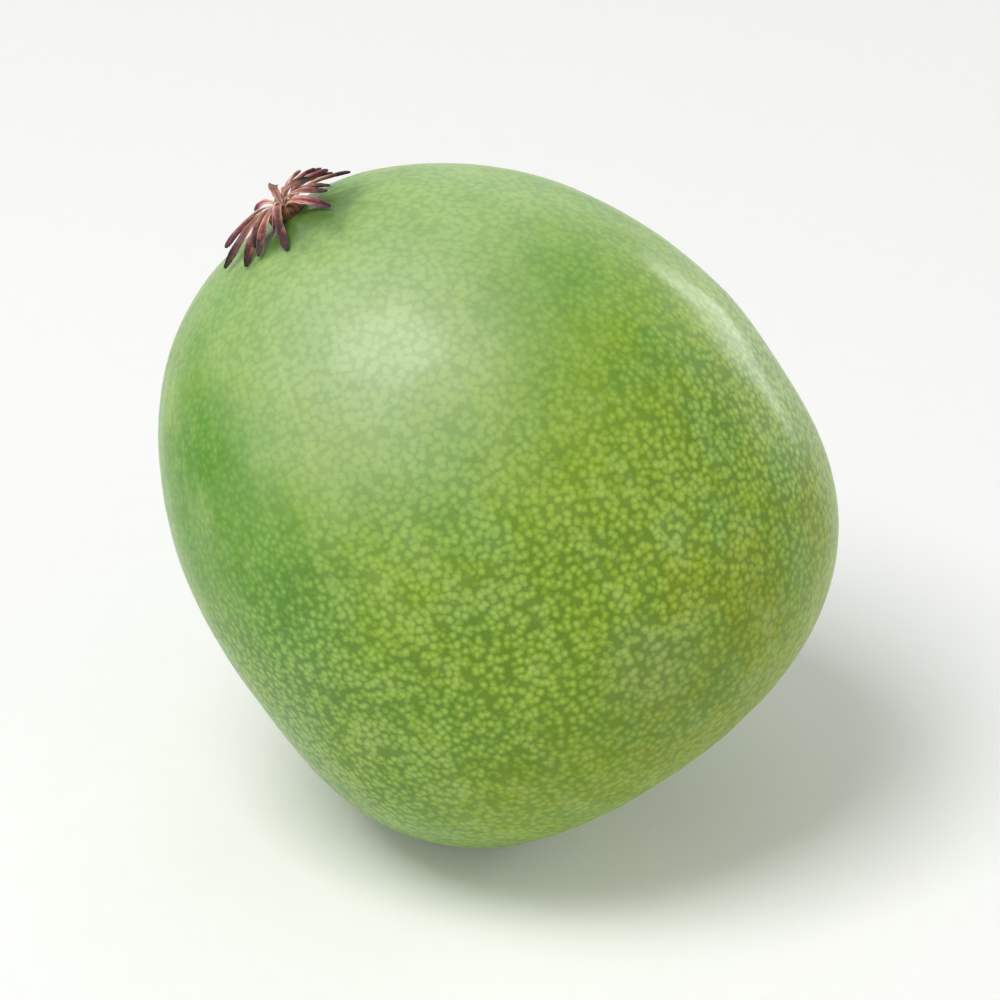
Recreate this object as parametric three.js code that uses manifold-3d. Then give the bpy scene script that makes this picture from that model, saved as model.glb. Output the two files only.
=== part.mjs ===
// A kiwi berry (hardy kiwi): a smooth green fruit that carries the dried star of its styles.
//
// Millimetres, +Z up. The origin is on the small flat spot that the fruit rests on. The fruit's
// own axis leans away from the upright, so its parts are first made in the fruit's frame:
// +Z runs from the widest ring to the blossom end, where the styles are, and -Z to the stem end.

import * as THREE from 'three';
import { mergeVertices } from 'three/addons/utils/BufferGeometryUtils.js';
import Module from 'manifold-3d';

// ---------------------------------------------------------------- driving dimensions

const GOLDEN_ANGLE = Math.PI * (3 - Math.sqrt(5));

const LEAN = THREE.MathUtils.degToRad(35.5); // of the fruit's axis from the upright, towards -X
const WIDEST_RING_HEIGHT = 13.37; // of the widest ring's centre above the surface it rests on
const WIDEST_RING_X = 1.01; // puts the flat spot's middle under the origin

const RADIUS = 13.07; // of the widest ring
const BLOSSOM_LENGTH = 16.25; // from the widest ring to the blossom end
const STEM_LENGTH = 12.15; // from the widest ring to the stem end
const BLOSSOM_ROUNDNESS = 2.11; // exponent of the outline: 2 is an ellipse, more is squarer
const STEM_ROUNDNESS = 2.82;

// The fruit is a little lopsided. Turns go round its axis; places and widths along it are angles
// at the middle of the widest ring, counted from the blossom end.
const OVAL = { amount: 0.007, turn: THREE.MathUtils.degToRad(30) };
const THREE_SIDED = { amount: 0.012, turn: THREE.MathUtils.degToRad(2) };
const SHOULDER = { amount: 0.154, width: 0.55, turn: THREE.MathUtils.degToRad(210) };
const BELLY = { amount: 0.026, at: 1.81, width: 0.67, turn: THREE.MathUtils.degToRad(30) };
const UNDERSIDE = { rise: 0.45, width: 0.42, fromStem: THREE.MathUtils.degToRad(26) };
const BLOSSOM_DIMPLE = { depth: 0.15, width: 0.16 };
const STEM_CAVITY = { depth: 1.0, width: 0.26 };

const SKIN_SIDES = 64; // round the fruit
const SKIN_RINGS = 42; // from end to end

const BASE_RADIUS = 0.85; // the dried cushion that the styles grow from
const BASE_HEIGHT = 0.5;
const BASE_EDGE = 0.12;
const BASE_TUCK = 0.93; // how far its underside draws in, as a share of its radius
const BASE_GAP = 0.08; // keeps the cushion clear of the dimple's rising side
const BASE_SIDES = 20;
const BASE_STEPS = 6; // of its domed top

const STYLE_COUNT = 24;
const STYLE_GAP = 0.06;
const STYLE_SPREAD = 0.56; // radius of the ring that the outermost styles grow on
const STYLE_BUNCHING = 0.27; // how far the styles gather into two opposite bunches
const STYLE_BUNCH_TURN = THREE.MathUtils.degToRad(65);
const STYLE_FLOPPING = 0.32; // how far both bunches lean over to one side
const STYLE_FLOP_TURN = THREE.MathUtils.degToRad(10);
const STYLE_DROOP = { turn: THREE.MathUtils.degToRad(255), longer: 0.24, lower: 0.7 }; // on one side
const STYLE_REACH = { middle: 2.1, rim: 3.7 }; // of the tips from the fruit's axis
const STYLE_TIP_HEIGHT = { middle: 1.3, rim: 0.35 }; // above the skin under them
const STYLE_KNEE_OUT = { middle: 0.25, rim: 0.9 };
const STYLE_KNEE_UP = { middle: 0.7, rim: 0.35 };
const STYLE_VARIATION = { turn: 0.2, knee: 0.1, reach: 0.14, height: 0.08 }; // from one to the next
const STYLE_FLATNESS = 0.55; // thickness over width
const STYLE_SIDES = 8;

// Half width of a style along its length: a thin foot, a strap, and a blunt tip.
const STYLE_OUTLINE = [
  [0.0, 0.0], [0.0, 0.06], [0.18, 0.08], [0.45, 0.12], [0.7, 0.13], [0.86, 0.13], [0.96, 0.09], [1.0, 0.0],
];

// ---------------------------------------------------------------- materials

function makeMaterials() {
  return {
    skin: new THREE.MeshStandardMaterial({ color: '#86a94e', roughness: 0.45, metalness: 0 }),
    cushion: new THREE.MeshStandardMaterial({ color: '#8a5238', roughness: 0.9, metalness: 0 }),
    style: new THREE.MeshStandardMaterial({ color: '#9b5a48', roughness: 0.8, metalness: 0 }),
  };
}

// ---------------------------------------------------------------- mesh helpers

// Joins the shared corners and drops the triangles that collapse where a lathe meets its axis.
function weld(geometry) {
  const bare = geometry.clone();
  bare.deleteAttribute('normal');
  bare.deleteAttribute('uv');
  const welded = mergeVertices(bare, 1e-5);
  const corners = welded.index.array;
  const kept = [];
  for (let i = 0; i < corners.length; i += 3) {
    const [a, b, c] = corners.slice(i, i + 3);
    if (a !== b && b !== c && c !== a) kept.push(a, b, c);
  }
  welded.setIndex(kept);
  return welded;
}

function moveCorners(geometry, move) {
  const corners = geometry.attributes.position;
  const point = new THREE.Vector3();
  for (let i = 0; i < corners.count; i += 1) {
    point.fromBufferAttribute(corners, i);
    const moved = move(point);
    corners.setXYZ(i, moved.x, moved.y, moved.z);
  }
  return geometry;
}

function toSolid(wasm, geometry) {
  return new wasm.Manifold(new wasm.Mesh({
    numProp: 3,
    vertProperties: new Float32Array(geometry.attributes.position.array),
    triVerts: new Uint32Array(geometry.index.array),
  }));
}

function toGeometry(solid) {
  const mesh = solid.getMesh();
  const geometry = new THREE.BufferGeometry();
  geometry.setAttribute('position', new THREE.BufferAttribute(new Float32Array(mesh.vertProperties), 3));
  geometry.setIndex(new THREE.BufferAttribute(new Uint32Array(mesh.triVerts), 1));
  geometry.computeVertexNormals();
  return geometry;
}

function makeNode(name, geometry, material) {
  const node = new THREE.Mesh(geometry, material);
  node.name = name;
  return node;
}

// ---------------------------------------------------------------- the fruit's outline

function between(range, share) {
  return THREE.MathUtils.lerp(range.middle, range.rim, share);
}

function bell(distance, width) {
  return Math.exp(-((distance / width) ** 2));
}

// Distance from the widest ring's centre to the skin, in a direction of the fruit's frame.
function skinRadius(direction) {
  const along = direction.z;
  const across = Math.hypot(direction.x, direction.y);
  const turn = Math.atan2(direction.y, direction.x);
  const fromBlossom = Math.acos(THREE.MathUtils.clamp(along, -1, 1));

  const towardsStem = THREE.MathUtils.smoothstep(-along, -0.3, 0.3);
  const length = along > 0 ? BLOSSOM_LENGTH : STEM_LENGTH;
  const roundness = THREE.MathUtils.lerp(BLOSSOM_ROUNDNESS, STEM_ROUNDNESS, towardsStem);
  const sum = (across / RADIUS) ** roundness + (Math.abs(along) / length) ** roundness;
  let radius = sum ** (-1 / roundness);

  radius *= 1 + OVAL.amount * across ** 2 * Math.cos(2 * (turn - OVAL.turn))
    + THREE_SIDED.amount * across ** 3 * Math.cos(3 * (turn - THREE_SIDED.turn));
  const shoulder = SHOULDER.amount * across ** 2 * bell(fromBlossom, SHOULDER.width);
  const belly = BELLY.amount * across * bell(fromBlossom - BELLY.at, BELLY.width);
  radius *= 1 + shoulder * Math.cos(turn - SHOULDER.turn) + belly * Math.cos(turn - BELLY.turn);

  const underside = new THREE.Vector3(-Math.sin(UNDERSIDE.fromStem), 0, -Math.cos(UNDERSIDE.fromStem));
  radius += UNDERSIDE.rise * bell(direction.angleTo(underside), UNDERSIDE.width);
  radius -= BLOSSOM_DIMPLE.depth * bell(fromBlossom, BLOSSOM_DIMPLE.width);
  radius -= STEM_CAVITY.depth * bell(Math.PI - fromBlossom, STEM_CAVITY.width);
  return radius;
}

function blossomEndHeight() {
  return skinRadius(new THREE.Vector3(0, 0, 1));
}

// Height of the skin above the blossom end, at a place beside the axis. Each pass corrects the
// direction for the height that the last one found.
function skinHeight(place) {
  const passes = 4;
  const point = new THREE.Vector3(place.x, place.y, BLOSSOM_LENGTH);
  for (let pass = 0; pass < passes; pass += 1) {
    const radius = skinRadius(point.clone().normalize());
    point.z = Math.sqrt(radius ** 2 - place.x ** 2 - place.y ** 2);
  }
  return point.z - blossomEndHeight();
}

// ---------------------------------------------------------------- pieces

// Turns and lifts the fruit's frame to the way that the fruit rests.
function placeFruit(object) {
  object.rotation.y = -LEAN;
  object.position.set(WIDEST_RING_X, 0, WIDEST_RING_HEIGHT);
  object.updateMatrix();
  return object;
}

// The whole fruit in one solid. The surface that it rests on cuts the small flat spot.
function makeBerry(wasm, material) {
  const ball = new THREE.SphereGeometry(1, SKIN_SIDES, SKIN_RINGS);
  ball.rotateX(Math.PI / 2);
  const skin = weld(ball);
  moveCorners(skin, (corner) => {
    const direction = corner.clone().normalize();
    return direction.multiplyScalar(skinRadius(direction));
  });
  skin.applyMatrix4(placeFruit(new THREE.Object3D()).matrix);

  const side = 4 * RADIUS;
  const belowSurface = new THREE.BoxGeometry(side, side, side);
  belowSurface.translate(0, 0, -side / 2);
  const rested = toSolid(wasm, skin).subtract(toSolid(wasm, weld(belowSurface)));
  return makeNode('berry', toGeometry(rested), material);
}

function baseTop(radius) {
  const rise = Math.sqrt(Math.max(0, 1 - (radius / BASE_RADIUS) ** 2));
  return BASE_EDGE + (BASE_HEIGHT - BASE_EDGE) * rise;
}

// The cushion left by the flower, domed on top and flat beneath.
function makeStyleBase(material) {
  const outline = [new THREE.Vector2(0, 0), new THREE.Vector2(BASE_RADIUS * BASE_TUCK, 0)];
  for (let step = 0; step <= BASE_STEPS; step += 1) {
    const radius = BASE_RADIUS * Math.cos((step / BASE_STEPS) * (Math.PI / 2));
    outline.push(new THREE.Vector2(step === BASE_STEPS ? 0 : radius, baseTop(radius)));
  }
  const dome = new THREE.LatheGeometry(outline, BASE_SIDES);
  dome.rotateX(Math.PI / 2);
  const base = makeNode('style_base', weld(dome), material);
  base.position.z = blossomEndHeight() + BASE_GAP;
  return base;
}

// A steady number from -1 to 1 that differs for each style and each of its traits.
function vary(style, trait) {
  const wave = Math.sin(style * 12.9898 + trait * 78.233) * 43758.5453;
  return 2 * (wave - Math.floor(wave)) - 1;
}

// The middle line of one style: up from the cushion, over a knee and out to its tip.
function styleCurve(style) {
  const share = (style + 0.5) / STYLE_COUNT;
  const even = style * GOLDEN_ANGLE;
  const turn = even - STYLE_BUNCHING * Math.sin(2 * (even - STYLE_BUNCH_TURN))
    - STYLE_FLOPPING * Math.sin(even - STYLE_FLOP_TURN);
  const tipTurn = turn + STYLE_VARIATION.turn * vary(style, 1);
  const droop = Math.cos(turn - STYLE_DROOP.turn);
  const outward = new THREE.Vector3(Math.cos(turn), Math.sin(turn), 0);
  const tipOutward = new THREE.Vector3(Math.cos(tipTurn), Math.sin(tipTurn), 0);

  const footRadius = STYLE_SPREAD * Math.sqrt(share);
  const foot = outward.clone().multiplyScalar(footRadius);
  foot.z = BASE_GAP + baseTop(footRadius) + STYLE_GAP;
  const knee = foot.clone().addScaledVector(outward, between(STYLE_KNEE_OUT, share));
  knee.z += between(STYLE_KNEE_UP, share) * (1 + STYLE_VARIATION.knee * vary(style, 2));
  const reach = between(STYLE_REACH, share) * (1 + STYLE_VARIATION.reach * vary(style, 3));
  const tip = tipOutward.multiplyScalar(reach * (1 + STYLE_DROOP.longer * droop));
  const lowered = 1 - 0.5 * STYLE_DROOP.lower * (1 + droop);
  tip.z = skinHeight(tip) + lowered * between(STYLE_TIP_HEIGHT, share);
  tip.z += STYLE_VARIATION.height * vary(style, 4);
  return new THREE.QuadraticBezierCurve3(foot, knee, tip);
}

// A dried style: a straight turned shape, flattened and then bent along its middle line.
function makeStyle(style, material) {
  const outline = STYLE_OUTLINE.map(([along, halfWidth]) => new THREE.Vector2(halfWidth, along));
  const strap = weld(new THREE.LatheGeometry(outline, STYLE_SIDES));
  const curve = styleCurve(style);
  const up = new THREE.Vector3(0, 0, 1);
  moveCorners(strap, (corner) => {
    const along = curve.getTangent(corner.y);
    const sideways = new THREE.Vector3().crossVectors(along, up).normalize();
    const facing = new THREE.Vector3().crossVectors(sideways, along);
    return curve.getPoint(corner.y)
      .addScaledVector(sideways, corner.x)
      .addScaledVector(facing, corner.z * STYLE_FLATNESS);
  });
  const number = String(style + 1).padStart(2, '0');
  const node = makeNode(`style_${number}`, strap, material);
  node.position.z = blossomEndHeight();
  return node;
}

// ---------------------------------------------------------------- the whole fruit

async function makeKiwiBerry() {
  const wasm = await Module();
  wasm.setup();
  const materials = makeMaterials();

  const blossomEnd = placeFruit(new THREE.Group());
  blossomEnd.add(makeStyleBase(materials.cushion));
  for (let style = 0; style < STYLE_COUNT; style += 1) {
    blossomEnd.add(makeStyle(style, materials.style));
  }

  const kiwiBerry = new THREE.Group();
  kiwiBerry.name = 'kiwi_berry';
  kiwiBerry.add(makeBerry(wasm, materials.skin));
  kiwiBerry.add(blossomEnd);
  return kiwiBerry;
}

export default await makeKiwiBerry();
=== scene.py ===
# %% [markdown]
# # A kiwi berry
#
# A kiwi berry, or hardy kiwi, is a smooth green fruit about as big as a large grape. Its thin
# skin is eaten with the rest. At one end it keeps the dried styles of its flower, which stand
# like a small brown star. At the other end is a shallow hollow where the stem let go.
#
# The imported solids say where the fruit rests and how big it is. They come first, because every
# piece made here has to sit exactly where they do.

# %% Load the frame
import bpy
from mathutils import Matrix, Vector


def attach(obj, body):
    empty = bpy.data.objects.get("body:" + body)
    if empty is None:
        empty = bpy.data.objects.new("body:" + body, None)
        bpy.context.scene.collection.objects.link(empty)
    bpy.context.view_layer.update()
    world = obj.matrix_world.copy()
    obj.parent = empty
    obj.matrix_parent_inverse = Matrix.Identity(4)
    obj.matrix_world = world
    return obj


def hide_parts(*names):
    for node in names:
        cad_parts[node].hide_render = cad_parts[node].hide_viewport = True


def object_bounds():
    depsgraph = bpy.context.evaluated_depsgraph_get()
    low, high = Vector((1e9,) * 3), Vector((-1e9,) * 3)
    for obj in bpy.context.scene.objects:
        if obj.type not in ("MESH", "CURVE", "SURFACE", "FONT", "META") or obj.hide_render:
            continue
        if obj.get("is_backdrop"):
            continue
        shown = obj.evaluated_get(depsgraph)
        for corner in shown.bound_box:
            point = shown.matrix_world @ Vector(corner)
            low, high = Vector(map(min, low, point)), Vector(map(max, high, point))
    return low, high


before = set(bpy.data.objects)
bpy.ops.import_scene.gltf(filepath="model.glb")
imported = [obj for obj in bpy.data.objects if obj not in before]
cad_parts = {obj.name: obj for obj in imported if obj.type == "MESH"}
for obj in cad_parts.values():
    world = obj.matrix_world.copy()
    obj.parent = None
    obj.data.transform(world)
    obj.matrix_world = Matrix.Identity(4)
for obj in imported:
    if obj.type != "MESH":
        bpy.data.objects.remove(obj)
cad_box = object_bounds()
print("pieces in the frame:", len(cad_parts))
print("box in millimetres:", [[round(1000 * value, 2) for value in corner] for corner in cad_box])

# %% Modules and units
import math
import bmesh
import bpy
from mathutils import Matrix, Vector, noise

MM = 0.001
print("everything below is worked out in millimetres, and turned to metres at the end")

# %% [markdown]
# ## The fruit's own frame
#
# The fruit rests on a small flat spot with its axis leaning over. It is far easier to shape it
# upright, so all of it is made in a frame of its own: Z runs up to the blossom end, where the
# styles are, and zero is the middle of the widest ring. One matrix then leans it, lifts it and
# turns millimetres to metres. The object itself is never turned: its place goes into its mesh.

# %% Lean and place
LEAN = math.radians(35.5)
WIDEST_RING = Vector((1.01, 0.0, 13.37))

FRUIT_TO_ROW = (
    Matrix.Scale(MM, 4)
    @ Matrix.Translation(WIDEST_RING)
    @ Matrix.Rotation(-LEAN, 4, "Y")
)
blossom_way = FRUIT_TO_ROW.to_3x3().normalized().col[2]
print("the blossom end points to", [round(value, 3) for value in blossom_way])

# %% [markdown]
# ## The outline of the fruit
#
# A real berry is nearly a solid of revolution: an ellipse at the blossom end and a squarer,
# broad-shouldered curve at the stem end. Two exponents give that. Then come the things that keep
# it from looking turned on a lathe: a slightly oval section, a fuller shoulder on one side, a
# belly that leans to the other, a soft dimple under the styles and the hollow at the stem.
# All of it is one function from a direction to a distance, because that can shape any mesh.

# %% Sizes of the fruit
RADIUS = 13.07
BLOSSOM_LENGTH = 16.25
STEM_LENGTH = 12.15
BLOSSOM_ROUNDNESS = 2.11
STEM_ROUNDNESS = 2.82
ROUNDNESS_BLEND = 0.3

OVAL = {"amount": 0.007, "turn": math.radians(30)}
THREE_SIDED = {"amount": 0.012, "turn": math.radians(2)}
SHOULDER = {"amount": 0.154, "width": 0.55, "turn": math.radians(210)}
BELLY = {"amount": 0.026, "at": 1.81, "width": 0.67, "turn": math.radians(30)}
UNDERSIDE = {"rise": 0.45, "width": 0.42, "from_stem": math.radians(26)}
BLOSSOM_DIMPLE = {"depth": 0.15, "width": 0.16}
STEM_CAVITY = {"depth": 1.0, "width": 0.26}

UNDERSIDE_WAY = Vector((-math.sin(UNDERSIDE["from_stem"]), 0.0, -math.cos(UNDERSIDE["from_stem"])))
print("about", 2 * RADIUS, "mm across, before it is made uneven")


# %% Blending and falling off
def mix(first, second, share):
    return first + (second - first) * share


def clamp(value, low=0.0, high=1.0):
    return max(low, min(high, value))


def smooth_step(value, low, high):
    share = clamp((value - low) / (high - low))
    return share * share * (3 - 2 * share)


def bell(distance, width):
    return math.exp(-((distance / width) ** 2))


print("a bell falls to", round(bell(1.0, 1.0), 2), "at its own width")


# %% From a direction to the skin
def skin_radius(way):
    across = math.hypot(way.x, way.y)
    turn = math.atan2(way.y, way.x)
    from_blossom = math.acos(clamp(way.z, -1.0, 1.0))

    to_stem = smooth_step(-way.z, -ROUNDNESS_BLEND, ROUNDNESS_BLEND)
    roundness = mix(BLOSSOM_ROUNDNESS, STEM_ROUNDNESS, to_stem)
    length = BLOSSOM_LENGTH if way.z > 0 else STEM_LENGTH
    reach = (across / RADIUS) ** roundness + (abs(way.z) / length) ** roundness
    radius = reach ** (-1 / roundness)

    radius *= (
        1
        + OVAL["amount"] * across**2 * math.cos(2 * (turn - OVAL["turn"]))
        + THREE_SIDED["amount"] * across**3 * math.cos(3 * (turn - THREE_SIDED["turn"]))
    )
    shoulder = SHOULDER["amount"] * across**2 * bell(from_blossom, SHOULDER["width"])
    belly = BELLY["amount"] * across * bell(from_blossom - BELLY["at"], BELLY["width"])
    radius *= (
        1
        + shoulder * math.cos(turn - SHOULDER["turn"])
        + belly * math.cos(turn - BELLY["turn"])
    )

    radius += UNDERSIDE["rise"] * bell(way.angle(UNDERSIDE_WAY), UNDERSIDE["width"])
    radius -= BLOSSOM_DIMPLE["depth"] * bell(from_blossom, BLOSSOM_DIMPLE["width"])
    radius -= STEM_CAVITY["depth"] * bell(math.pi - from_blossom, STEM_CAVITY["width"])
    return radius


BLOSSOM_END = skin_radius(Vector((0, 0, 1)))
STEM_END = skin_radius(Vector((0, 0, -1)))
print("from end to end:", round(BLOSSOM_END + STEM_END, 2), "mm")

# %% [markdown]
# ## Low relief of the skin
#
# Up close the skin isn't a perfect surface. It has broad, shallow swellings, faint ribs that run
# from end to end, small puckers round the foot of the styles, and creases that fall into the stem
# hollow. In the hollow sits the corky scar of the stem: a low ring with a sunken middle. These
# are real shapes, so they go into the mesh. Only the pores are left to the material.

# %% Relief in millimetres
SWELLING = {"height": 0.09, "size": 6.0}
RIPPLE = {"height": 0.025, "size": 1.9}
RIBS = {"height": 0.03, "count": 5.5, "climb": 0.12, "fade": (0.15, 0.6)}
PUCKERS = {"height": 0.05, "count": 13, "at": 0.13, "width": 0.07, "fade": (0.02, 0.1)}
CREASES = {
    "depth": 0.14, "count": 9, "at": 0.2, "width": 0.1, "sharpness": 6,
    "wander": {"reach": 0.5, "count": 2, "start": 0.7},
}
FOLDS = {"mean": 0.6, "swing": 0.4, "count": 3, "start": 1.3}
print("the highest swelling is", SWELLING["height"], "mm")


# %% Ribs, puckers and creases
def ribs(way, turn):
    ring = Vector((math.cos(turn), math.sin(turn), RIBS["climb"] * way.z)) * RIBS["count"]
    return RIBS["height"] * noise.noise(ring)


def puckers(turn, from_blossom):
    """Small folds round the foot of the styles."""
    wave = PUCKERS["height"] * math.cos(PUCKERS["count"] * turn)
    return wave * bell(from_blossom - PUCKERS["at"], PUCKERS["width"])


def creases(turn, from_stem):
    """Narrow folds that fall into the stem hollow and wander a little on the way."""
    wander = CREASES["wander"]
    wander = wander["reach"] * math.sin(wander["count"] * turn + wander["start"])
    fold = abs(math.cos(0.5 * (CREASES["count"] * turn + wander))) ** CREASES["sharpness"]
    return CREASES["depth"] * fold * bell(from_stem - CREASES["at"], CREASES["width"])


print("folds:", PUCKERS["count"], "at the blossom end and", CREASES["count"], "at the stem end")

# %% The scar of the stem
SCAR = {
    "radius": 1.25, "rise": 0.2, "edge": (-0.25, 0.15),
    "rim": 0.16, "rim_width": 0.3, "pit": 0.22, "pit_width": 0.4,
}


def scar_relief(from_axis):
    plug = SCAR["rise"] * (1 - smooth_step(from_axis - SCAR["radius"], *SCAR["edge"]))
    rim = SCAR["rim"] * bell(from_axis - SCAR["radius"], SCAR["rim_width"])
    pit = SCAR["pit"] * bell(from_axis, SCAR["pit_width"])
    return plug + rim - pit


print("the scar's ring is", 2 * SCAR["radius"], "mm across")


# %% All the relief together
def skin_relief(way, point):
    turn = math.atan2(way.y, way.x)
    across = math.hypot(way.x, way.y)
    from_blossom = math.acos(clamp(way.z, -1.0, 1.0))
    uneven = FOLDS["mean"] + FOLDS["swing"] * math.sin(FOLDS["count"] * turn + FOLDS["start"])

    relief = SWELLING["height"] * noise.noise(point / SWELLING["size"])
    relief += RIPPLE["height"] * noise.noise(point / RIPPLE["size"])
    relief += ribs(way, turn) * smooth_step(across, *RIBS["fade"])
    relief += uneven * puckers(turn, from_blossom) * smooth_step(across, *PUCKERS["fade"])
    relief -= uneven * creases(turn, math.pi - from_blossom)
    if way.z < 0:
        relief += scar_relief(across * point.length)
    return relief


stem_way = Vector((0, 0, -1))
scar_middle = skin_relief(stem_way, stem_way * STEM_END)
print("relief in the middle of the scar:", round(scar_middle, 3), "mm")

# %% [markdown]
# ## The fruit
#
# A ball made of rings of latitude has a pinch at each pole, just where the styles and the stem
# scar are. A cube divided many times and blown up to a ball has even, square faces everywhere
# and no poles, so the relief comes out the same all over. The corners of the cube are first
# spread by a tangent, which evens the faces out further.
#
# Where the fruit meets the surface it is pressed flat, with a soft turn into the round.

# %% Where the fruit is pressed flat
SOFT_PRESS = 0.12


def press_on_surface(height):
    """Keeps a height above zero, with a rounded turn instead of a sharp edge."""
    if height >= SOFT_PRESS:
        return height
    if height <= -SOFT_PRESS:
        return 0.0
    return (height + SOFT_PRESS) ** 2 / (4 * SOFT_PRESS)


print("a point at the surface is lifted by", press_on_surface(0.0), "mm")


# %% From a bmesh to a finished piece
def finish_piece(bm, name, material, slot, *nodes):
    """Turns a bmesh into a smooth object that rides on the fruit and stands for its solids."""
    bmesh.ops.recalc_face_normals(bm, faces=bm.faces)
    for face in bm.faces:
        face.smooth = True
    mesh = bpy.data.meshes.new(name)
    bm.to_mesh(mesh)
    bm.free()
    mesh.materials.append(material)
    piece = bpy.data.objects.new(name, mesh)
    bpy.context.collection.objects.link(piece)
    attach(piece, "root")
    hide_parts(*nodes)
    return piece


# %% Shape the fruit
COARSE_CUTS = 7
FINE_CUTS = 15


def make_fruit(material):
    bm = bmesh.new()
    bmesh.ops.create_cube(bm, size=2.0)
    for cuts in (COARSE_CUTS, FINE_CUTS):
        bmesh.ops.subdivide_edges(bm, edges=bm.edges, cuts=cuts, use_grid_fill=True)
    for corner in bm.verts:
        spread = Vector([math.tan(0.25 * math.pi * value) for value in corner.co])
        way = spread.normalized()
        point = way * skin_radius(way)
        corner.co = point + way * skin_relief(way, point)
    bmesh.ops.transform(bm, matrix=FRUIT_TO_ROW, verts=bm.verts)
    for corner in bm.verts:
        corner.co.z = press_on_surface(corner.co.z / MM) * MM
    return finish_piece(bm, "fruit", material, "skin", "berry")


print("each side of the cube becomes", (COARSE_CUTS + 1) * (FINE_CUTS + 1), "faces long")

# %% [markdown]
# ## Adding nodes to a material
#
# A material is a small tree of nodes. One function adds a node of any kind, sets it, links it and
# gives back its output, so a long chain of nodes reads like a sum. Colours are written as the hex
# values that a paint program shows, and one function turns them to the linear values that the
# renderer works with.

# %% Colours
def linear(hex_colour):
    """The linear values that the renderer needs, from an sRGB hex colour."""
    channels = [int(hex_colour[i : i + 2], 16) / 255 for i in (1, 3, 5)]
    light = [c / 12.92 if c <= 0.04045 else ((c + 0.055) / 1.055) ** 2.4 for c in channels]
    return *light, 1.0


print("mid green in linear light:", [round(value, 3) for value in linear("#86AC50")[:3]])


# %% One function for every node
def add(tree, kind, *values, give=None, ramp=(), **named):
    """Adds a node and gives back one output, the first in use unless it is named.

    The values fill the inputs in use, in their order. Of the names, one with a capital is an
    input, with _ for a space, and any other is a setting.
    """
    node = tree.nodes.new("ShaderNode" + kind)
    for name, value in named.items():
        if name[0].islower():
            setattr(node, name, value)
    for place, (position, colour) in enumerate(ramp):
        if place >= len(node.color_ramp.elements):
            node.color_ramp.elements.new(position)
        node.color_ramp.elements[place].position = position
        node.color_ramp.elements[place].color = linear(colour)
    in_use = [socket for socket in node.inputs if socket.enabled]
    by_name = {socket.name: socket for socket in reversed(in_use)}
    filled = list(zip(in_use, values))
    for name, value in named.items():
        if name[0].isupper():
            filled.append((by_name[name.replace("_", " ")], value))
    for socket, value in filled:
        if isinstance(value, bpy.types.NodeSocket):
            tree.links.new(value, socket)
        else:
            socket.default_value = value
    return next((out for out in node.outputs if out.enabled and give in (None, out.name)), None)


def new_material(name):
    material = bpy.data.materials.new(name)
    material.use_nodes = True
    material.node_tree.nodes.clear()
    return material, material.node_tree


print("materials so far:", len(bpy.data.materials))

# %% [markdown]
# ## Waxy skin
#
# The skin is living plant cuticle: a thin clear wax over green cells. The wax gives a wide, soft
# highlight and a pale sheen at the edges, and light goes a little way into the flesh. The green
# isn't even. It is cooler near the blossom end and turns olive yellow on the side that ripened
# first. Over it lies a close net of darker green whose meshes are filled by small pale dots, the
# pores. They are drawn about a third of a millimetre apart, so that each still shows as a dot.
# Near the blossom end the pores fade under broad pale patches of painted highlight.
#
# Every pattern reads the object's own coordinates, brought into the fruit's frame in
# millimetres by one Mapping node. So the sizes and places below are real ones.

# %% Places on the fruit, for its materials
DRIFT = {"size": 2.6, "reach": 0.5}


def fruit_place(tree):
    """Object coordinates, brought into the fruit's own frame in millimetres."""
    return add(
        tree, "Mapping", add(tree, "TexCoord", give="Object"), vector_type="TEXTURE",
        Location=WIDEST_RING * MM, Rotation=(0, -LEAN, 0), Scale=(MM, MM, MM),
    )


def shaken(tree, place, size, reach):
    """The same places, each pushed aside a little by a soft noise, so that nothing looks ruled."""
    push = add(tree, "TexNoise", Vector=place, Scale=1 / size, Detail=1.0, give="Color")
    centred = add(tree, "VectorMath", push, (0.5, 0.5, 0.5), operation="SUBTRACT")
    return add(tree, "VectorMath", centred, (2 * reach,) * 3, place, operation="MULTIPLY_ADD")


print("patches wander by up to", DRIFT["reach"], "mm")

# %% Two ways to lay one colour over another
PATCH_CORE = 0.15


def tinted(tree, colour, amount, tints):
    """Lays each tint over the colour, from none to its most as the amount crosses its range."""
    for tint in tints:
        mask = add(
            tree, "MapRange", amount, *tint["range"], 0.0, tint["most"],
            interpolation_type="SMOOTHSTEP",
        )
        colour = add(tree, "Mix", mask, colour, linear(tint["colour"]), data_type="RGBA")
    return colour


def patched(tree, colour, place, patches):
    """Lays soft round patches over the colour, each at its most in the middle."""
    for patch in patches:
        away = add(tree, "VectorMath", place, patch["at"], operation="DISTANCE")
        fading = {"range": (patch["reach"], PATCH_CORE * patch["reach"])}
        colour = tinted(tree, colour, away, [{**patch, **fading}])
    return colour


print("a patch is even over the middle", f"{PATCH_CORE:.0%} of its reach")

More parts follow.
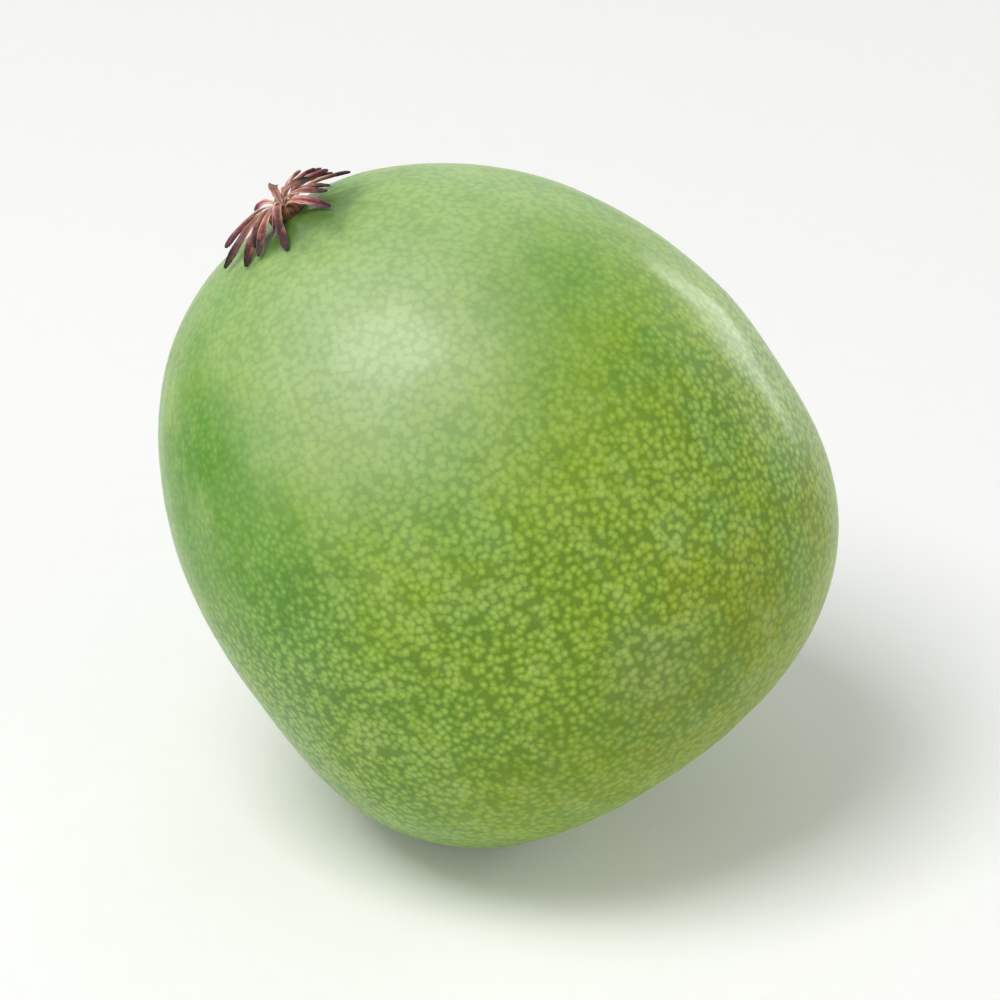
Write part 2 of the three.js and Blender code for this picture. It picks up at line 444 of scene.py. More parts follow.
# %% Ripeness, clouds and mottle: sizes in millimetres, and the part of a noise that takes a tint
RIPE_SIDE = Vector((0.66, -0.5, -0.56)).normalized()
RIPENING = {"across": (-8.0, 14.0), "ripeness": (-0.25, 0.75), "patch_size": 6.5, "patches": 0.6}
RIPENESS_COLOURS = (
    (0.1, "#8DB65E"), (0.42, "#88B052"), (0.7, "#88AC38"), (0.95, "#90AC26"), (1.0, "#96AA20"),
)
CLOUD_SIZE = 3.6
CLOUD_TINTS = (
    {"range": (0.48, 0.34), "most": 0.42, "colour": "#78AC52"},
    {"range": (0.52, 0.66), "most": 0.45, "colour": "#92B434"},
)
MOTTLE_SIZE = 2.2
MOTTLE_TINTS = (
    {"range": (0.58, 0.3), "most": 0.35, "colour": "#5F8F26"},
    {"range": (0.5, 0.72), "most": 0.3, "colour": "#A9C470"},
)
STREAKS = {"count": 14.0, "climb": 0.012}
STREAK_TINTS = ({"range": (0.48, 0.75), "most": 0.2, "colour": "#B9CF7E"},)
print("the ripest side points to", [round(value, 2) for value in RIPE_SIDE])

# %% Large soft patches on the skin: where each lies, how far it reaches, and its most
# Pale patches of painted highlight: one broad over the upper left, one along the top, one small low
# on the ripe side.
PAINTED_HIGHLIGHT_PATCHES = (
    {"at": (4.7, -7.9, 11.4), "reach": 9.6, "most": 0.5, "colour": "#C6D5AC"},
    {"at": (8.2, 0.4, 13.2), "reach": 6.5, "most": 0.34, "colour": "#BFD9A0"},
    {"at": (7.8, -9.6, -5.2), "reach": 3.0, "most": 0.26, "colour": "#ACBA86"},
)
# Of these green patches, the two inside the left edge and the dark olive one low on the stem side
# are painted shade.
GREEN_AND_PAINTED_SHADE_PATCHES = (
    {"at": (-4.9, -9.1, 11.0), "reach": 4.6, "most": 0.9, "colour": "#529410"},
    {"at": (-4.6, -11.2, 6.6), "reach": 6.4, "most": 0.62, "colour": "#5A9820"},
    {"at": (9.8, -3.5, 10.0), "reach": 5.0, "most": 0.4, "colour": "#659A30"},
    {"at": (4.4, -12.3, -1.2), "reach": 5.0, "most": 0.34, "colour": "#789C0A"},
    {"at": (7.4, -9.0, -8.4), "reach": 5.4, "most": 0.32, "colour": "#6C860A"},
    {"at": (1.4, -11.8, -7.0), "reach": 4.6, "most": 0.4, "colour": "#7C9C08"},
)
# What is counted here as bloom is painted highlight, and some of the deeper green is painted shade.
print("patches:", len(PAINTED_HIGHLIGHT_PATCHES), "of bloom and", len(GREEN_AND_PAINTED_SHADE_PATCHES), "of deeper green")

# %% The ground colour of the skin, without its dots
def ripeness_colour(tree, place, loose):
    """Green on one side of the fruit and olive on the other, with an uneven border."""
    towards_ripe = add(tree, "VectorMath", place, RIPE_SIDE, operation="DOT_PRODUCT")
    patches = add(tree, "TexNoise", Vector=loose, Scale=1 / RIPENING["patch_size"], Detail=3.0)
    even = add(
        tree, "MapRange", towards_ripe, *RIPENING["across"], *RIPENING["ripeness"], clamp=False
    )
    ripeness = add(tree, "Math", patches, RIPENING["patches"], even, operation="MULTIPLY_ADD")
    return add(tree, "ValToRGB", ripeness, ramp=RIPENESS_COLOURS)


def streak_noise(tree, place, height):
    """Noise on a ring that hardly changes along the fruit, so that it runs from end to end."""
    level = add(tree, "VectorMath", place, (1, 1, 0), operation="MULTIPLY")
    ring = add(tree, "VectorMath", level, operation="NORMALIZE")
    climb = add(tree, "Math", height, STREAKS["climb"], operation="MULTIPLY")
    meridian = add(tree, "VectorMath", ring, add(tree, "CombineXYZ", Z=climb), operation="ADD")
    return add(tree, "TexNoise", Vector=meridian, Scale=STREAKS["count"], Detail=4.0)


def skin_ground(tree, place, loose, height):
    """Ripeness, clouds, deeper green and painted shade, mottle, streaks, and painted highlight over
    all.
    """
    colour = ripeness_colour(tree, place, loose)
    clouds = add(tree, "TexNoise", Vector=loose, Scale=1 / CLOUD_SIZE, Detail=2.0)
    colour = tinted(tree, colour, clouds, CLOUD_TINTS)
    # Deeper green patches, three of them painted shade.
    colour = patched(tree, colour, loose, GREEN_AND_PAINTED_SHADE_PATCHES)
    mottle = add(
        tree, "TexNoise", Vector=loose, Scale=1 / MOTTLE_SIZE, Detail=4.0, Roughness=0.6
    )
    colour = tinted(tree, colour, mottle, MOTTLE_TINTS)
    colour = tinted(tree, colour, streak_noise(tree, place, height), STREAK_TINTS)
    # The pale patches laid last are painted highlight.
    return patched(tree, colour, loose, PAINTED_HIGHLIGHT_PATCHES), mottle


TINT_COUNT = len(CLOUD_TINTS + MOTTLE_TINTS + STREAK_TINTS)
print("colours laid over the ripeness:", TINT_COUNT + len(GREEN_AND_PAINTED_SHADE_PATCHES + PAINTED_HIGHLIGHT_PATCHES))

# %% The pores
PORES = {"spacing": 0.32, "evenness": 0.15, "grain": 0.2, "ragged": 0.5}
GAPS = {"range": (0.2, 0.44), "most": 1.05, "colour": "#3F6A0C"}
DOTS = {"range": (0.23, -0.16), "most": 1.05, "colour": "#BCD868"}
PORE_STRENGTH = {
    "patch_size": 6.5, "patches": 6.0,
    "towards_blossom": (13.0, 3.0), "strength": (0.15, 0.47),
    "towards_stem": (-3.0, -9.0), "kept": (1.0, 0.6),
}


def pore_strength(tree, loose, height):
    """Weak near the blossom end, strongest round the middle, and weaker again at the stem end."""
    wander = add(
        tree, "TexNoise", Vector=loose, Scale=1 / PORE_STRENGTH["patch_size"], Detail=2.0
    )
    level = add(tree, "Math", wander, PORE_STRENGTH["patches"], height, operation="MULTIPLY_ADD")
    strength = add(
        tree, "MapRange", level, *PORE_STRENGTH["towards_blossom"], *PORE_STRENGTH["strength"],
        interpolation_type="SMOOTHSTEP",
    )
    kept = add(
        tree, "MapRange", height, *PORE_STRENGTH["towards_stem"], *PORE_STRENGTH["kept"],
        interpolation_type="SMOOTHSTEP",
    )
    return add(tree, "Math", strength, kept, operation="MULTIPLY")


def with_pores(tree, colour, place, strength):
    """Dark gaps far from any cell's middle, and a pale dot at each. Also gives the dots alone.

    Gaps and dots balance each other, so that they hardly change the mean colour.
    """
    cells = add(
        tree, "TexVoronoi", Vector=place, Scale=1 / PORES["spacing"],
        Randomness=1 - PORES["evenness"],
    )
    grain = add(tree, "TexNoise", Vector=place, Scale=1 / PORES["grain"], Detail=1.0)
    ragged = add(tree, "Math", grain, -PORES["ragged"], cells, operation="MULTIPLY_ADD")
    for layer in (GAPS, DOTS):
        shape = add(
            tree, "MapRange", ragged, *layer["range"], 0.0, layer["most"],
            interpolation_type="SMOOTHSTEP",
        )
        amount = add(tree, "Math", shape, strength, operation="MULTIPLY")
        colour = add(tree, "Mix", amount, colour, linear(layer["colour"]), data_type="RGBA")
    return colour, amount


print("pores across the fruit:", round(2 * RADIUS / PORES["spacing"]))

# %% Stain and painted shade under the styles, and the scar of the stem
# Dark green round the foot of the styles: painted shade under them, with some stain.
STAIN_AND_SHADE = {"range": (5.0, 2.6), "most": 0.8, "colour": "#3C6218"}
STAIN_AND_SHADE_PLACE = {"at": (1.5, -1.7, BLOSSOM_END), "ragged": 3.0}
TAN = {"range": (3.6, 1.7), "most": 0.7, "colour": "#7C7434"}
SCAR_PLACE = {"at": (0, 0, -STEM_END), "ragged": 0.9}
CORK = {"range": (2.05, 1.75), "grain": 0.2}
CORK_COLOURS = ((0.3, "#4A3420"), (0.5, "#7B5C3A"), (0.7, "#B39468"))


def ragged_distance(tree, place, mottle, at, ragged):
    away = add(tree, "VectorMath", place, at, operation="DISTANCE")
    return add(tree, "Math", mottle, ragged, away, operation="MULTIPLY_ADD")


def with_ends(tree, colour, place, mottle):
    """Stain and painted shade round the foot of the styles, and tanned skin round the corky scar.
    """
    from_stain_and_shade = ragged_distance(tree, place, mottle, **STAIN_AND_SHADE_PLACE)
    stained_and_shaded = tinted(tree, colour, from_stain_and_shade, [STAIN_AND_SHADE])
    from_scar = ragged_distance(tree, place, mottle, **SCAR_PLACE)
    tanned = tinted(tree, stained_and_shaded, from_scar, [TAN])
    on_cork = add(
        tree, "MapRange", from_scar, *CORK["range"], 0.0, 1.0, interpolation_type="SMOOTHSTEP"
    )
    grain = add(
        tree, "TexNoise", Vector=place, Scale=1 / CORK["grain"], Detail=5.0, Roughness=0.7
    )
    cork = add(tree, "ValToRGB", grain, ramp=CORK_COLOURS)
    return add(tree, "Mix", on_cork, tanned, cork, data_type="RGBA"), on_cork, grain


print("the tan reaches", TAN["range"][0], "mm from the middle of the scar")

# %% Gloss and fine relief of the wax
# Plant wax has an IOR of about 1.45, and on a berry the satin roughness below. The net of pores
# breaks up more than half of its mirror gloss, and the rest lies on top as a thin clear coat.
WAX = {
    "IOR": 1.45, "Specular_IOR_Level": 0.22,
    "Coat_Weight": 0.3, "Coat_Roughness": 0.17, "Coat_IOR": 1.4,
}
FLESH = {
    "Subsurface_Weight": 0.12, "Subsurface_Radius": (0.6, 1.0, 0.2), "Subsurface_Scale": 0.5 * MM,
}
POLISH = {"size": 1.2, "noise": (0.3, 0.7), "roughness": (0.42, 0.5)}
DULLER_DOTS = 0.05
CORK_ROUGHNESS = 0.9
PEEL = {"size": 0.5, "dots": 0.35, "strength": 0.5, "depth": 0.03}


def wax_roughness(tree, loose, dots, on_cork):
    """Wax is glossier where it is thin and duller on the pores, and cork is quite dull."""
    polish = add(tree, "TexNoise", Vector=loose, Scale=1 / POLISH["size"], Detail=3.0)
    wax = add(tree, "MapRange", polish, *POLISH["noise"], *POLISH["roughness"])
    waxed = add(tree, "Math", dots, DULLER_DOTS, wax, operation="MULTIPLY_ADD")
    return add(tree, "Mix", on_cork, waxed, CORK_ROUGHNESS)


def wax_relief(tree, loose, dots, on_cork, cork_grain):
    """The dots stand a few thousandths of a millimetre proud of a fine orange peel."""
    peel = add(tree, "TexNoise", Vector=loose, Scale=1 / PEEL["size"], Detail=2.0)
    bumps = add(tree, "Math", dots, PEEL["dots"], peel, operation="MULTIPLY_ADD")
    relief = add(tree, "Math", on_cork, cork_grain, bumps, operation="MULTIPLY_ADD")
    return add(tree, "Bump", Height=relief, Strength=PEEL["strength"], Distance=PEEL["depth"] * MM)


print("the wax's roughness lies between", *POLISH["roughness"])


# %% The skin material
def waxy_skin():
    material, tree = new_material("waxy_fruit_skin")
    place = fruit_place(tree)
    loose = shaken(tree, place, **DRIFT)
    height = add(tree, "SeparateXYZ", place, give="Z")
    ground, mottle = skin_ground(tree, place, loose, height)
    dotted, dots = with_pores(tree, ground, place, pore_strength(tree, loose, height))
    colour, on_cork, cork_grain = with_ends(tree, dotted, place, mottle)
    shader = add(
        tree, "BsdfPrincipled", Base_Color=colour,
        Roughness=wax_roughness(tree, loose, dots, on_cork),
        Normal=wax_relief(tree, loose, dots, on_cork, cork_grain), **WAX, **FLESH,
    )
    add(tree, "OutputMaterial", Surface=shader)
    return material


fruit = make_fruit(waxy_skin())
print("fruit:", len(fruit.data.polygons), "faces")

# %% [markdown]
# ## Dried flower tissue
#
# What is left of the flower has dried on the fruit, and the cushion and the styles are coloured
# alike. Dead plant tissue is dull, without any wax. Fine lengthwise lines of painted highlight
# stand for the light that its dry fibres catch. It curls as it dries: painted shade darkens the
# groove inside a curl, and painted highlight lightens the thin edges. Here and there a purple
# flush is left. The real fibres are a few hundredths of a millimetre wide, too fine to show, so
# they are drawn about a tenth of a millimetre wide.
#
# A pattern in space would cut across the bent pieces. So each piece carries three numbers on its
# corners instead: how far along it they are, how near its edge, and a shade of its own.

# %% What dried tissue looks like
BLOTCHES = {"size": 0.38, "noise": (0.25, 0.75), "shift": (-0.2, 0.2)}
FLUSH = {"range": (0.6, 0.85), "most": 0.36}
FIBRES = {"stretch": (3.2, 1.8, 40.0), "noise": (0.48, 0.66), "share": (0.0, 0.75)}
# The next three lines set the fade of the painted highlight towards the tip, the painted shade in
# the groove and the painted highlight on the edges.
HIGHLIGHT_FADE = {"along": (0.85, 0.5), "share": (0.1, 1.0)}
GROOVE_SHADE = {"fibres": (0.6, 0.42), "share": (0.1, 0.8), "edge": (0.45, 0.0), "colour": "#3C161A"}
EDGE_HIGHLIGHT = {"edge": (0.72, 0.95), "most": 0.75}
SHADES = (0.55, 1.4)
DRY = {"IOR": 1.45, "fibres": (0.3, 0.7), "roughness": (0.5, 0.8), "strength": 0.6, "depth": 0.03}
print("tones from one piece to the next:", SHADES[0], "to", SHADES[1])


# %% The colour of dried tissue
def dried_colour(tree, along, edge, shade, blotch, fibre, colours):
    shift = add(tree, "MapRange", blotch, *BLOTCHES["noise"], *BLOTCHES["shift"])
    shifted = add(tree, "Math", along, shift, operation="ADD")
    body = add(tree, "ValToRGB", shifted, ramp=colours["along"])
    colour = tinted(tree, body, shade, [{**FLUSH, "colour": colours["flush"]}])

    # The painted highlights on the fibres and on the edges fade out towards the dark tip.
    highlight_fade, fibre_highlight, inside, between, on_edge_highlight = (
        add(tree, "MapRange", measure, *span, *share, interpolation_type="SMOOTHSTEP")
        for measure, span, share in (
            (along, HIGHLIGHT_FADE["along"], HIGHLIGHT_FADE["share"]),
            (fibre, FIBRES["noise"], FIBRES["share"]),
            (edge, GROOVE_SHADE["edge"], (0.0, 1.0)),
            (fibre, GROOVE_SHADE["fibres"], GROOVE_SHADE["share"]),
            (edge, EDGE_HIGHLIGHT["edge"], (0.0, 1.0)),
        )
    )
    edge_highlight_before_tip = add(tree, "Math", highlight_fade, EDGE_HIGHLIGHT["most"], operation="MULTIPLY")
    # Painted highlight on the fibres, painted shade in the groove, painted highlight on the edges.
    for first, second, over in (
        (fibre_highlight, highlight_fade, colours["fibre"]),
        (inside, between, GROOVE_SHADE["colour"]),
        (on_edge_highlight, edge_highlight_before_tip, colours["edge"]),
    ):
        amount = add(tree, "Math", first, second, operation="MULTIPLY")
        colour = add(tree, "Mix", amount, colour, linear(over), data_type="RGBA")
    brightness = add(tree, "MapRange", shade, 0.0, 1.0, *SHADES)
    return add(tree, "HueSaturation", Color=colour, Value=brightness)


print("fibres over a strap's width:", round(2 * FIBRES["stretch"][0]))


# %% The material for dried tissue
def dried_tissue(name, **colours):
    material, tree = new_material(name)
    along, edge, shade = (
        add(tree, "Attribute", attribute_name=measure, give="Fac")
        for measure in ("along", "edge", "shade")
    )
    blotch = add(
        tree, "TexNoise", Vector=fruit_place(tree), Scale=1 / BLOTCHES["size"], Detail=4.0
    )
    strip = add(tree, "CombineXYZ", edge, along, shade)
    stretched = add(tree, "VectorMath", strip, FIBRES["stretch"], operation="MULTIPLY")
    fibre = add(tree, "TexNoise", Vector=stretched, Scale=1.0, Detail=4.0)
    colour = dried_colour(tree, along, edge, shade, blotch, fibre, colours)

    roughness = add(tree, "MapRange", fibre, *DRY["fibres"], *DRY["roughness"])
    height = add(tree, "Math", fibre, blotch, operation="ADD")
    bump = add(
        tree, "Bump", Height=height, Strength=DRY["strength"], Distance=DRY["depth"] * MM
    )
    shader = add(
        tree, "BsdfPrincipled", Base_Color=colour, Roughness=roughness, Normal=bump,
        IOR=DRY["IOR"],
    )
    add(tree, "OutputMaterial", Surface=shader)
    return material


# The cushion is drawn dark, darkest at its foot: painted shade under the styles over its own brown.
cushion_material = dried_tissue(
    "dried_flower_cushion",
    along=((0.0, "#2E2012"), (0.45, "#5A3C24"), (1.0, "#A8744C")),
    fibre="#B08A60", edge="#7A5636", flush="#5A3C24",
)
# Its pale fibre and edge colours are painted highlight.
style_material = dried_tissue(
    "dried_styles",
    along=(
        (0.0, "#DAA686"), (0.25, "#E0A486"), (0.5, "#CC8068"), (0.74, "#8E4640"), (0.92, "#241212"),
    ),
    fibre="#F0D6C4", edge="#F4E2D2", flush="#A0447E",
)
print("dried materials:", cushion_material.name, "and", style_material.name)

# %% [markdown]
# ## The dried flower cushion
#
# The styles grow from a small domed cushion of dried tissue, which sits in the dimple. It is
# lumpy and fibrous, more like bark than skin. A ball cut off flat below gives the dome, and
# noise gives the lumps.

# %% Sizes of the cushion
BASE_RADIUS = 0.85
BASE_HEIGHT = 0.5
BASE_EDGE = 0.12
BASE_GAP = 0.08
BASE_SINK = 0.2
BASE_TURN_UNDER = 0.35
LUMPS = ((4.0, 0.08), (11.0, 0.03))
LUMPS_SIDEWAYS = 0.6
FLUTES = {"count": 11, "depth": 0.05}


def base_top(radius):
    rise = math.sqrt(max(0.0, 1 - (radius / BASE_RADIUS) ** 2))
    return BASE_EDGE + (BASE_HEIGHT - BASE_EDGE) * rise


print("the cushion stands", BASE_GAP + BASE_HEIGHT, "mm above the dimple's floor")

# %% Shape the cushion
def cushion_point(way):
    turn = math.atan2(way.y, way.x)
    from_axis = math.hypot(way.x, way.y)
    lumps = sum(noise.noise(way * fineness) * height for fineness, height in LUMPS)
    flutes = FLUTES["depth"] * math.cos(FLUTES["count"] * turn) * from_axis**3
    radius = from_axis * BASE_RADIUS * (1 + flutes + LUMPS_SIDEWAYS * lumps)
    top = base_top(min(BASE_RADIUS, from_axis * BASE_RADIUS)) + lumps
    under = smooth_step(-way.z, 0.0, BASE_TURN_UNDER)
    height = top if way.z > 0 else mix(top, -BASE_SINK, under)
    height += BLOSSOM_END + BASE_GAP
    return radius * math.cos(turn), radius * math.sin(turn), height


def make_cushion():
    bm = bmesh.new()
    bmesh.ops.create_icosphere(bm, subdivisions=5, radius=1.0)
    along, edge, shade = (bm.verts.layers.float.new(name) for name in ("along", "edge", "shade"))
    for corner in bm.verts:
        way = corner.co.copy()
        corner[along] = clamp(0.5 + 0.5 * way.z)
        corner[edge] = 0.5 + 0.5 * math.cos(FLUTES["count"] * math.atan2(way.y, way.x))
        corner[shade] = 0.5
        corner.co = cushion_point(way)
    bmesh.ops.transform(bm, matrix=FRUIT_TO_ROW, verts=bm.verts)
    return finish_piece(bm, "cushion", cushion_material, "style_base", "style_base")


cushion = make_cushion()
print("cushion:", len(cushion.data.polygons), "faces")

# %% [markdown]
# ## The dried styles
#
# A fresh kiwi flower has a ring of some two dozen white styles. On the ripe fruit they have
# shrivelled to thin brown straps: narrow at the foot, curled up along their edges, twisted, and
# dark at the tips. They spread by the golden angle, as the parts of many flowers do, but have
# gathered into loose bunches and flopped over to one side.
#
# Each strap starts as a straight tube, divided along its length. Its section is squeezed to a
# curled ribbon, and it is then bent along a curve from its foot, over a knee, to its tip. The
# foot, knee and tip are worked out just as they are for the solids, so that each strap lies
# where its solid is.

# %% Layout of the styles
STYLE_COUNT = 24
GOLDEN_ANGLE = math.pi * (3 - math.sqrt(5))
STYLE_GAP = 0.06
STYLE_SUNK = 0.06
STYLE_SPREAD = 0.56
STYLE_BUNCHING = 0.27
STYLE_BUNCH_TURN = math.radians(65)
STYLE_FLOPPING = 0.32
STYLE_FLOP_TURN = math.radians(10)
STYLE_DROOP = {"turn": math.radians(255), "longer": 0.24, "lower": 0.7}
STYLE_REACH = (2.1, 3.7)
STYLE_TIP_HEIGHT = (1.3, 0.35)
STYLE_KNEE_OUT = (0.25, 0.9)
STYLE_KNEE_UP = (0.7, 0.35)
STYLE_VARIATION = {"turn": 0.2, "knee": 0.1, "reach": 0.14, "height": 0.08}
STYLE_STEP, TRAIT_STEP, SCRAMBLE = 12.9898, 78.233, 43758.5453
UP = Vector((0, 0, 1))


def vary(style, trait):
    """A steady number from -1 to 1 that differs for each style and each of its traits."""
    wave = math.sin(style * STYLE_STEP + trait * TRAIT_STEP) * SCRAMBLE
    return 2 * (wave - math.floor(wave)) - 1


print("golden angle:", round(math.degrees(GOLDEN_ANGLE), 2), "degrees")


# %% The middle line of a style
def skin_height(place):
    """Height of the skin above the blossom end, at a place beside the axis."""
    point = Vector((place.x, place.y, BLOSSOM_LENGTH))
    for _ in range(4):
        point.z = math.sqrt(skin_radius(point.normalized()) ** 2 - place.x**2 - place.y**2)
    return point.z - BLOSSOM_END


def style_curve(style):
    share = (style + 0.5) / STYLE_COUNT
    even = style * GOLDEN_ANGLE
    turn = even - STYLE_BUNCHING * math.sin(2 * (even - STYLE_BUNCH_TURN))
    turn -= STYLE_FLOPPING * math.sin(even - STYLE_FLOP_TURN)
    tip_turn = turn + STYLE_VARIATION["turn"] * vary(style, 1)
    droop = math.cos(turn - STYLE_DROOP["turn"])
    outward = Vector((math.cos(turn), math.sin(turn), 0))
    tip_outward = Vector((math.cos(tip_turn), math.sin(tip_turn), 0))

    foot_radius = STYLE_SPREAD * math.sqrt(share)
    foot = outward * foot_radius + UP * (BASE_GAP + base_top(foot_radius) + STYLE_GAP)
    knee = foot + outward * mix(*STYLE_KNEE_OUT, share)
    knee.z += mix(*STYLE_KNEE_UP, share) * (1 + STYLE_VARIATION["knee"] * vary(style, 2))
    reach = mix(*STYLE_REACH, share) * (1 + STYLE_VARIATION["reach"] * vary(style, 3))
    tip = tip_outward * reach * (1 + STYLE_DROOP["longer"] * droop)
    lowered = 1 - 0.5 * STYLE_DROOP["lower"] * (1 + droop)
    tip.z = skin_height(tip) + lowered * mix(*STYLE_TIP_HEIGHT, share)
    tip.z += STYLE_VARIATION["height"] * vary(style, 4)
    return foot - UP * (STYLE_GAP + STYLE_SUNK), knee, tip


def curve_point(curve, share):
    foot, knee, tip = curve
    return foot * (1 - share) ** 2 + knee * (2 * share * (1 - share)) + tip * share**2


def curve_way(curve, share):
    foot, knee, tip = curve
    return ((knee - foot) * (1 - share) + (tip - knee) * share).normalized()


outer_foot, _, outer_tip = style_curve(STYLE_COUNT - 1)
print("from foot to tip of the outermost style:", round((outer_tip - outer_foot).length, 2), "mm")

# %% Width along a strap: how far along, and half the width in millimetres
HALF_WIDTHS = (
    (0.0, 0.08), (0.2, 0.11), (0.45, 0.15), (0.7, 0.17), (0.86, 0.165), (0.95, 0.135), (1.0, 0.07),
)


def half_width(share):
    for (start, width), (end, next_width) in zip(HALF_WIDTHS, HALF_WIDTHS[1:]):
        if share <= end:
            return mix(width, next_width, smooth_step(share, start, end))
    return HALF_WIDTHS[-1][1]


print("widest:", 2 * max(width for _, width in HALF_WIDTHS), "mm")

# %% The curled section of a strap
WRINKLES = {"depth": 0.22, "along": 7.0, "around": 1.2, "apart": 5.3}
SECTION = {"width_varies": 0.25, "thickness": 0.42, "thin_edges": 0.35}
CURL = {"most": 0.45, "varies": 0.3, "starts": (0.15, 0.5)}


def strap_section(style, share, turn):
    """Sideways and upward offset of a point on the ribbon's section."""
    sideways = math.cos(turn)
    seed = (share * WRINKLES["along"], sideways * WRINKLES["around"], style * WRINKLES["apart"])
    wrinkle = WRINKLES["depth"] * noise.noise(Vector(seed))
    width = half_width(share) * (1 + wrinkle) * (1 + SECTION["width_varies"] * vary(style, 8))
    thickness = SECTION["thickness"] * width * (1 - SECTION["thin_edges"] * sideways**2)
    curl = (CURL["most"] + CURL["varies"] * vary(style, 6)) * width * sideways**2
    curl *= smooth_step(share, *CURL["starts"])
    return width * sideways, thickness * math.sin(turn) + curl


widths = [strap_section(style, 0.7, 0.0)[0] for style in range(STYLE_COUNT)]
print("half widths from", round(min(widths), 2), "to", round(max(widths), 2), "mm")

# %% Bend one strap along its middle line
TWIST = 1.5
SWAY = {"most": 0.1, "along": 2.5, "apart": 3.1, "level": 0.5}


def strap_point(style, curve, share, sideways, upwards):
    """Twists a point of the section, sways it and sets it on the style's middle line."""
    twist = TWIST * vary(style, 5) * share**1.5
    across = sideways * math.cos(twist) - upwards * math.sin(twist)
    lift = sideways * math.sin(twist) + upwards * math.cos(twist)
    way = curve_way(curve, share)
    side = way.cross(UP).normalized()
    seed = Vector((share * SWAY["along"], style * SWAY["apart"], SWAY["level"]))
    sway = SWAY["most"] * noise.noise(seed) * share
    return curve_point(curve, share) + side * (across + sway) + side.cross(way) * lift


print("straps twist by up to", round(math.degrees(TWIST)), "degrees")

# %% Shape one strap
STRAP_SIDES = 14
STRAP_CUTS = 35


def strap_tube():
    """A straight round tube of length 1, cut into short rings."""
    bm = bmesh.new()
    bmesh.ops.create_cone(
        bm, cap_ends=True, cap_tris=True, segments=STRAP_SIDES, radius1=1.0, radius2=1.0, depth=1.0
    )
    lengthways = [e for e in bm.edges if abs(e.verts[0].co.z - e.verts[1].co.z) > 0.5]
    bmesh.ops.subdivide_edges(bm, edges=lengthways, cuts=STRAP_CUTS)
    return bm


def make_strap(style):
    curve = style_curve(style)
    bm = strap_tube()
    along, edge, shade = (bm.verts.layers.float.new(name) for name in ("along", "edge", "shade"))
    for corner in bm.verts:
        share = clamp(corner.co.z + 0.5)
        turn = math.atan2(corner.co.y, corner.co.x)
        is_middle = math.hypot(corner.co.x, corner.co.y) < 0.5
        section = (0.0, 0.0) if is_middle else strap_section(style, share, turn)
        corner[along] = share
        corner[edge] = abs(math.cos(turn))
        corner[shade] = 0.5 + 0.5 * vary(style, 7)
        corner.co = strap_point(style, curve, share, *section) + UP * BLOSSOM_END
    bmesh.ops.transform(bm, matrix=FRUIT_TO_ROW, verts=bm.verts)
    number = f"{style + 1:02d}"
    return finish_piece(bm, f"strap_{number}", style_material, "styles", f"style_{number}")


straps = [make_strap(style) for style in range(STYLE_COUNT)]
print("straps:", len(straps), "with", len(straps[0].data.polygons), "faces each")

# %% [markdown]
# ## Floor
#
# A plain pale sheet shows the fruit as it lies on a table. It isn't part of the fruit. It is
# uncoated paper, pressed from pulp: even, quite dull and without a highlight. Real paper fibres
# are too fine to show, so they are drawn about a millimetre apart, as a very faint cloudiness.
# To the camera the sheet is a touch lighter than it really is, so that it meets the white
# background without a line, but it still keeps the fruit's shadow.

# %% What the camera sees directly
def seen_directly(tree):
    """1 for what the camera sees, also in a mirror or through glass, and 0 for light on things."""
    seen = add(tree, "LightPath", give="Is Camera Ray")
    for ray in ("Is Glossy Ray", "Is Transmission Ray"):
        seen = add(tree, "Math", seen, add(tree, "LightPath", give=ray), operation="MAXIMUM")
    return seen


print("lighter only to the camera, in mirrors and through glass")

# %% The floor
FLOOR_HALF = 0.6
PAPER_GLOW = 0.10
PAPER_FIBRES_PER_MM = 0.9
PAPER_TINTS = ("#F3F3F1", "#F7F7F6")


def paper():
    material, tree = new_material("white_paper")
    place = add(tree, "TexCoord", give="Object")
    fibre = add(tree, "TexNoise", Vector=place, Scale=PAPER_FIBRES_PER_MM / MM, Detail=3.0)
    dark, light = (linear(tint) for tint in PAPER_TINTS)
    sheet = add(tree, "BsdfDiffuse", Color=add(tree, "Mix", fibre, dark, light, data_type="RGBA"))
    brightness = add(tree, "Math", seen_directly(tree), PAPER_GLOW, operation="MULTIPLY")
    both = add(tree, "AddShader", sheet, add(tree, "Emission", Strength=brightness))
    add(tree, "OutputMaterial", Surface=both)
    return material


def make_floor():
    bm = bmesh.new()
    bmesh.ops.create_grid(bm, x_segments=1, y_segments=1, size=FLOOR_HALF)
    mesh = bpy.data.meshes.new("floor")
    bm.to_mesh(mesh)
    bm.free()
    mesh.materials.append(paper())
    floor = bpy.data.objects.new("floor", mesh)
    bpy.context.collection.objects.link(floor)
    floor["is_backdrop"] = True


make_floor()
print("floor:", 2 * FLOOR_HALF, "m across")

# %% [markdown]
# ## Light
#
# The fruit is lit like something in a white tent. A large soft lamp high on the left makes the
# one broad highlight. A weak one on the right keeps the shaded side open, and one low behind
# draws the pale band along the far edge. The tent itself is a plain white world, dimmer as a
# lamp than it looks to the camera.

# %% The world
WORLD_LIGHT = 0.37
WORLD_TO_CAMERA = 1.0


def make_world():
    world = bpy.data.worlds.new("white_tent")
    world.use_nodes = True
    tree = world.node_tree
    tree.nodes.clear()
    strength = add(tree, "MapRange", seen_directly(tree), 0.0, 1.0, WORLD_LIGHT, WORLD_TO_CAMERA)
    white = add(tree, "Background", Color=linear("#FFFFFF"), Strength=strength)
    add(tree, "OutputWorld", Surface=white)
    bpy.context.scene.world = world


make_world()
print("the tent lights the fruit at", f"{WORLD_LIGHT:.0%} of what the camera sees of it")

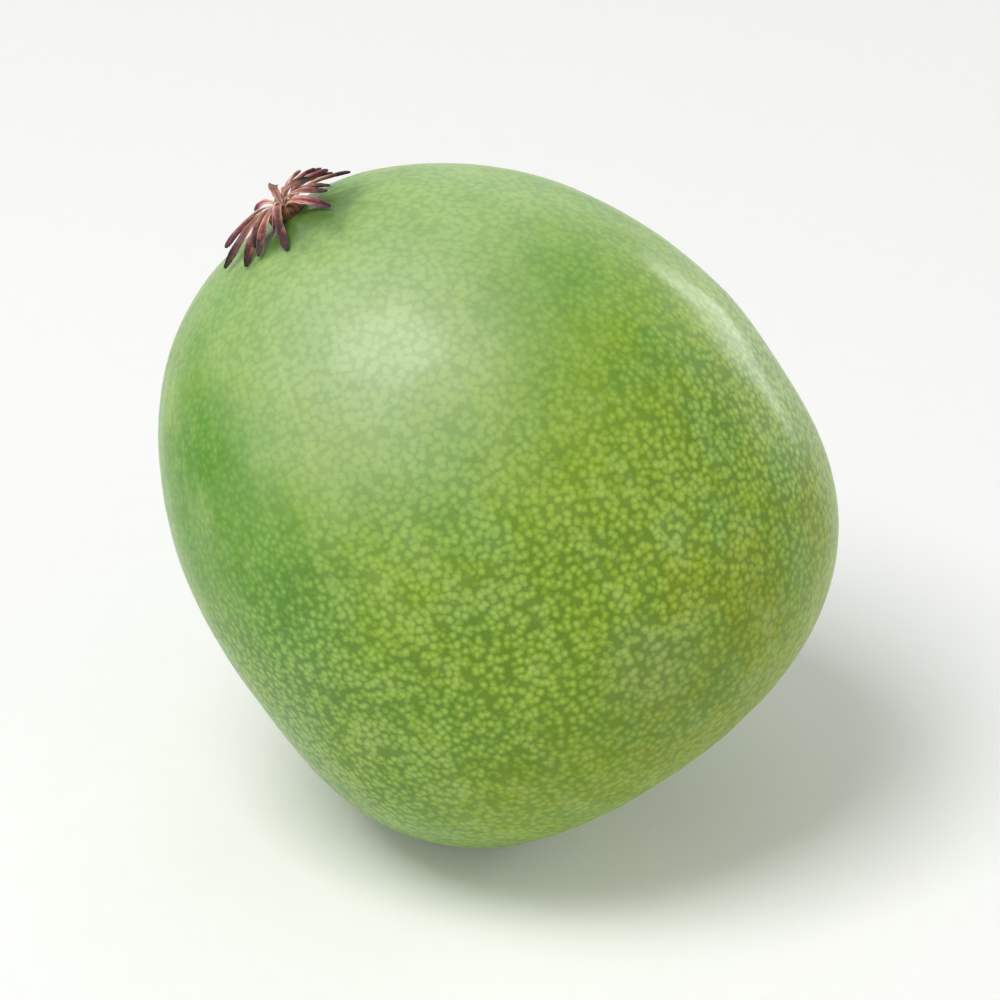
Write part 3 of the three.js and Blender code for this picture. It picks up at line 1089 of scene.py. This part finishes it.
# %% The lamps: angles in degrees, distance and size in metres
CENTRE = (cad_box[0] + cad_box[1]) / 2
LAMPS = {
    "key": {"azimuth": -33, "elevation": 63, "distance": 0.35, "size": 0.18, "share": 0.70},
    "fill": {"azimuth": 75, "elevation": 30, "distance": 0.45, "size": 0.30, "share": 0.06},
    "back": {"azimuth": 157, "elevation": 5, "distance": 0.45, "size": 0.2, "share": 0.34},
}


def direction(azimuth, elevation):
    turn = math.radians(azimuth)
    rise = math.radians(elevation)
    level = math.cos(rise)
    return Vector((math.sin(turn) * level, -math.cos(turn) * level, math.sin(rise)))


def aim(thing, away, distance):
    """Places a lamp or a camera off to one side and turns it to the fruit."""
    thing.location = CENTRE + away * distance
    thing.rotation_mode = "QUATERNION"
    thing.rotation_quaternion = away.to_track_quat("Z", "Y")
    bpy.context.collection.objects.link(thing)


def make_lamp(name, azimuth, elevation, distance, size, share):
    """A square lamp that lights a surface facing it to the given share of its own colour."""
    lamp = bpy.data.lights.new(name, "AREA")
    lamp.shape = "SQUARE"
    lamp.size = size
    lamp.energy = share * math.pi**2 * distance**2
    aim(bpy.data.objects.new(name, lamp), direction(azimuth, elevation), distance)


for lamp_name, settings in LAMPS.items():
    make_lamp(lamp_name, **settings)
print("lamps:", ", ".join(LAMPS))

# %% [markdown]
# ## Camera
#
# The fruit is seen from a little to its right and from above. A long lens from some way off
# keeps its outline true, as a careful product shot does.

# %% The camera
CAMERA_AZIMUTH = 18
CAMERA_ELEVATION = 30
LENS = 180.0
SENSOR = 36.0
FILL = 0.68
CLIP = (0.01, 10.0)


def make_camera():
    lens = bpy.data.cameras.new("camera")
    lens.lens = LENS
    lens.sensor_width = SENSOR
    lens.clip_start, lens.clip_end = CLIP
    camera = bpy.data.objects.new("camera", lens)
    width = (cad_box[1] - cad_box[0]).x
    distance = width / FILL / (SENSOR / LENS)
    aim(camera, direction(CAMERA_AZIMUTH, CAMERA_ELEVATION), distance)
    bpy.context.scene.camera = camera
    return distance


print("camera distance:", round(make_camera(), 3), "m")
bpy.context.scene.view_settings.view_transform = "Standard"

# %% [markdown]
# ## The size
#
# The dressed fruit has to keep the size of its solids. Both boxes are printed, side by side.

# %% Print both boxes
dressed_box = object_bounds()
for name, box in (("solids", cad_box), ("dressed", dressed_box)):
    print(name, [[round(value / MM, 2) for value in corner] for corner in box])
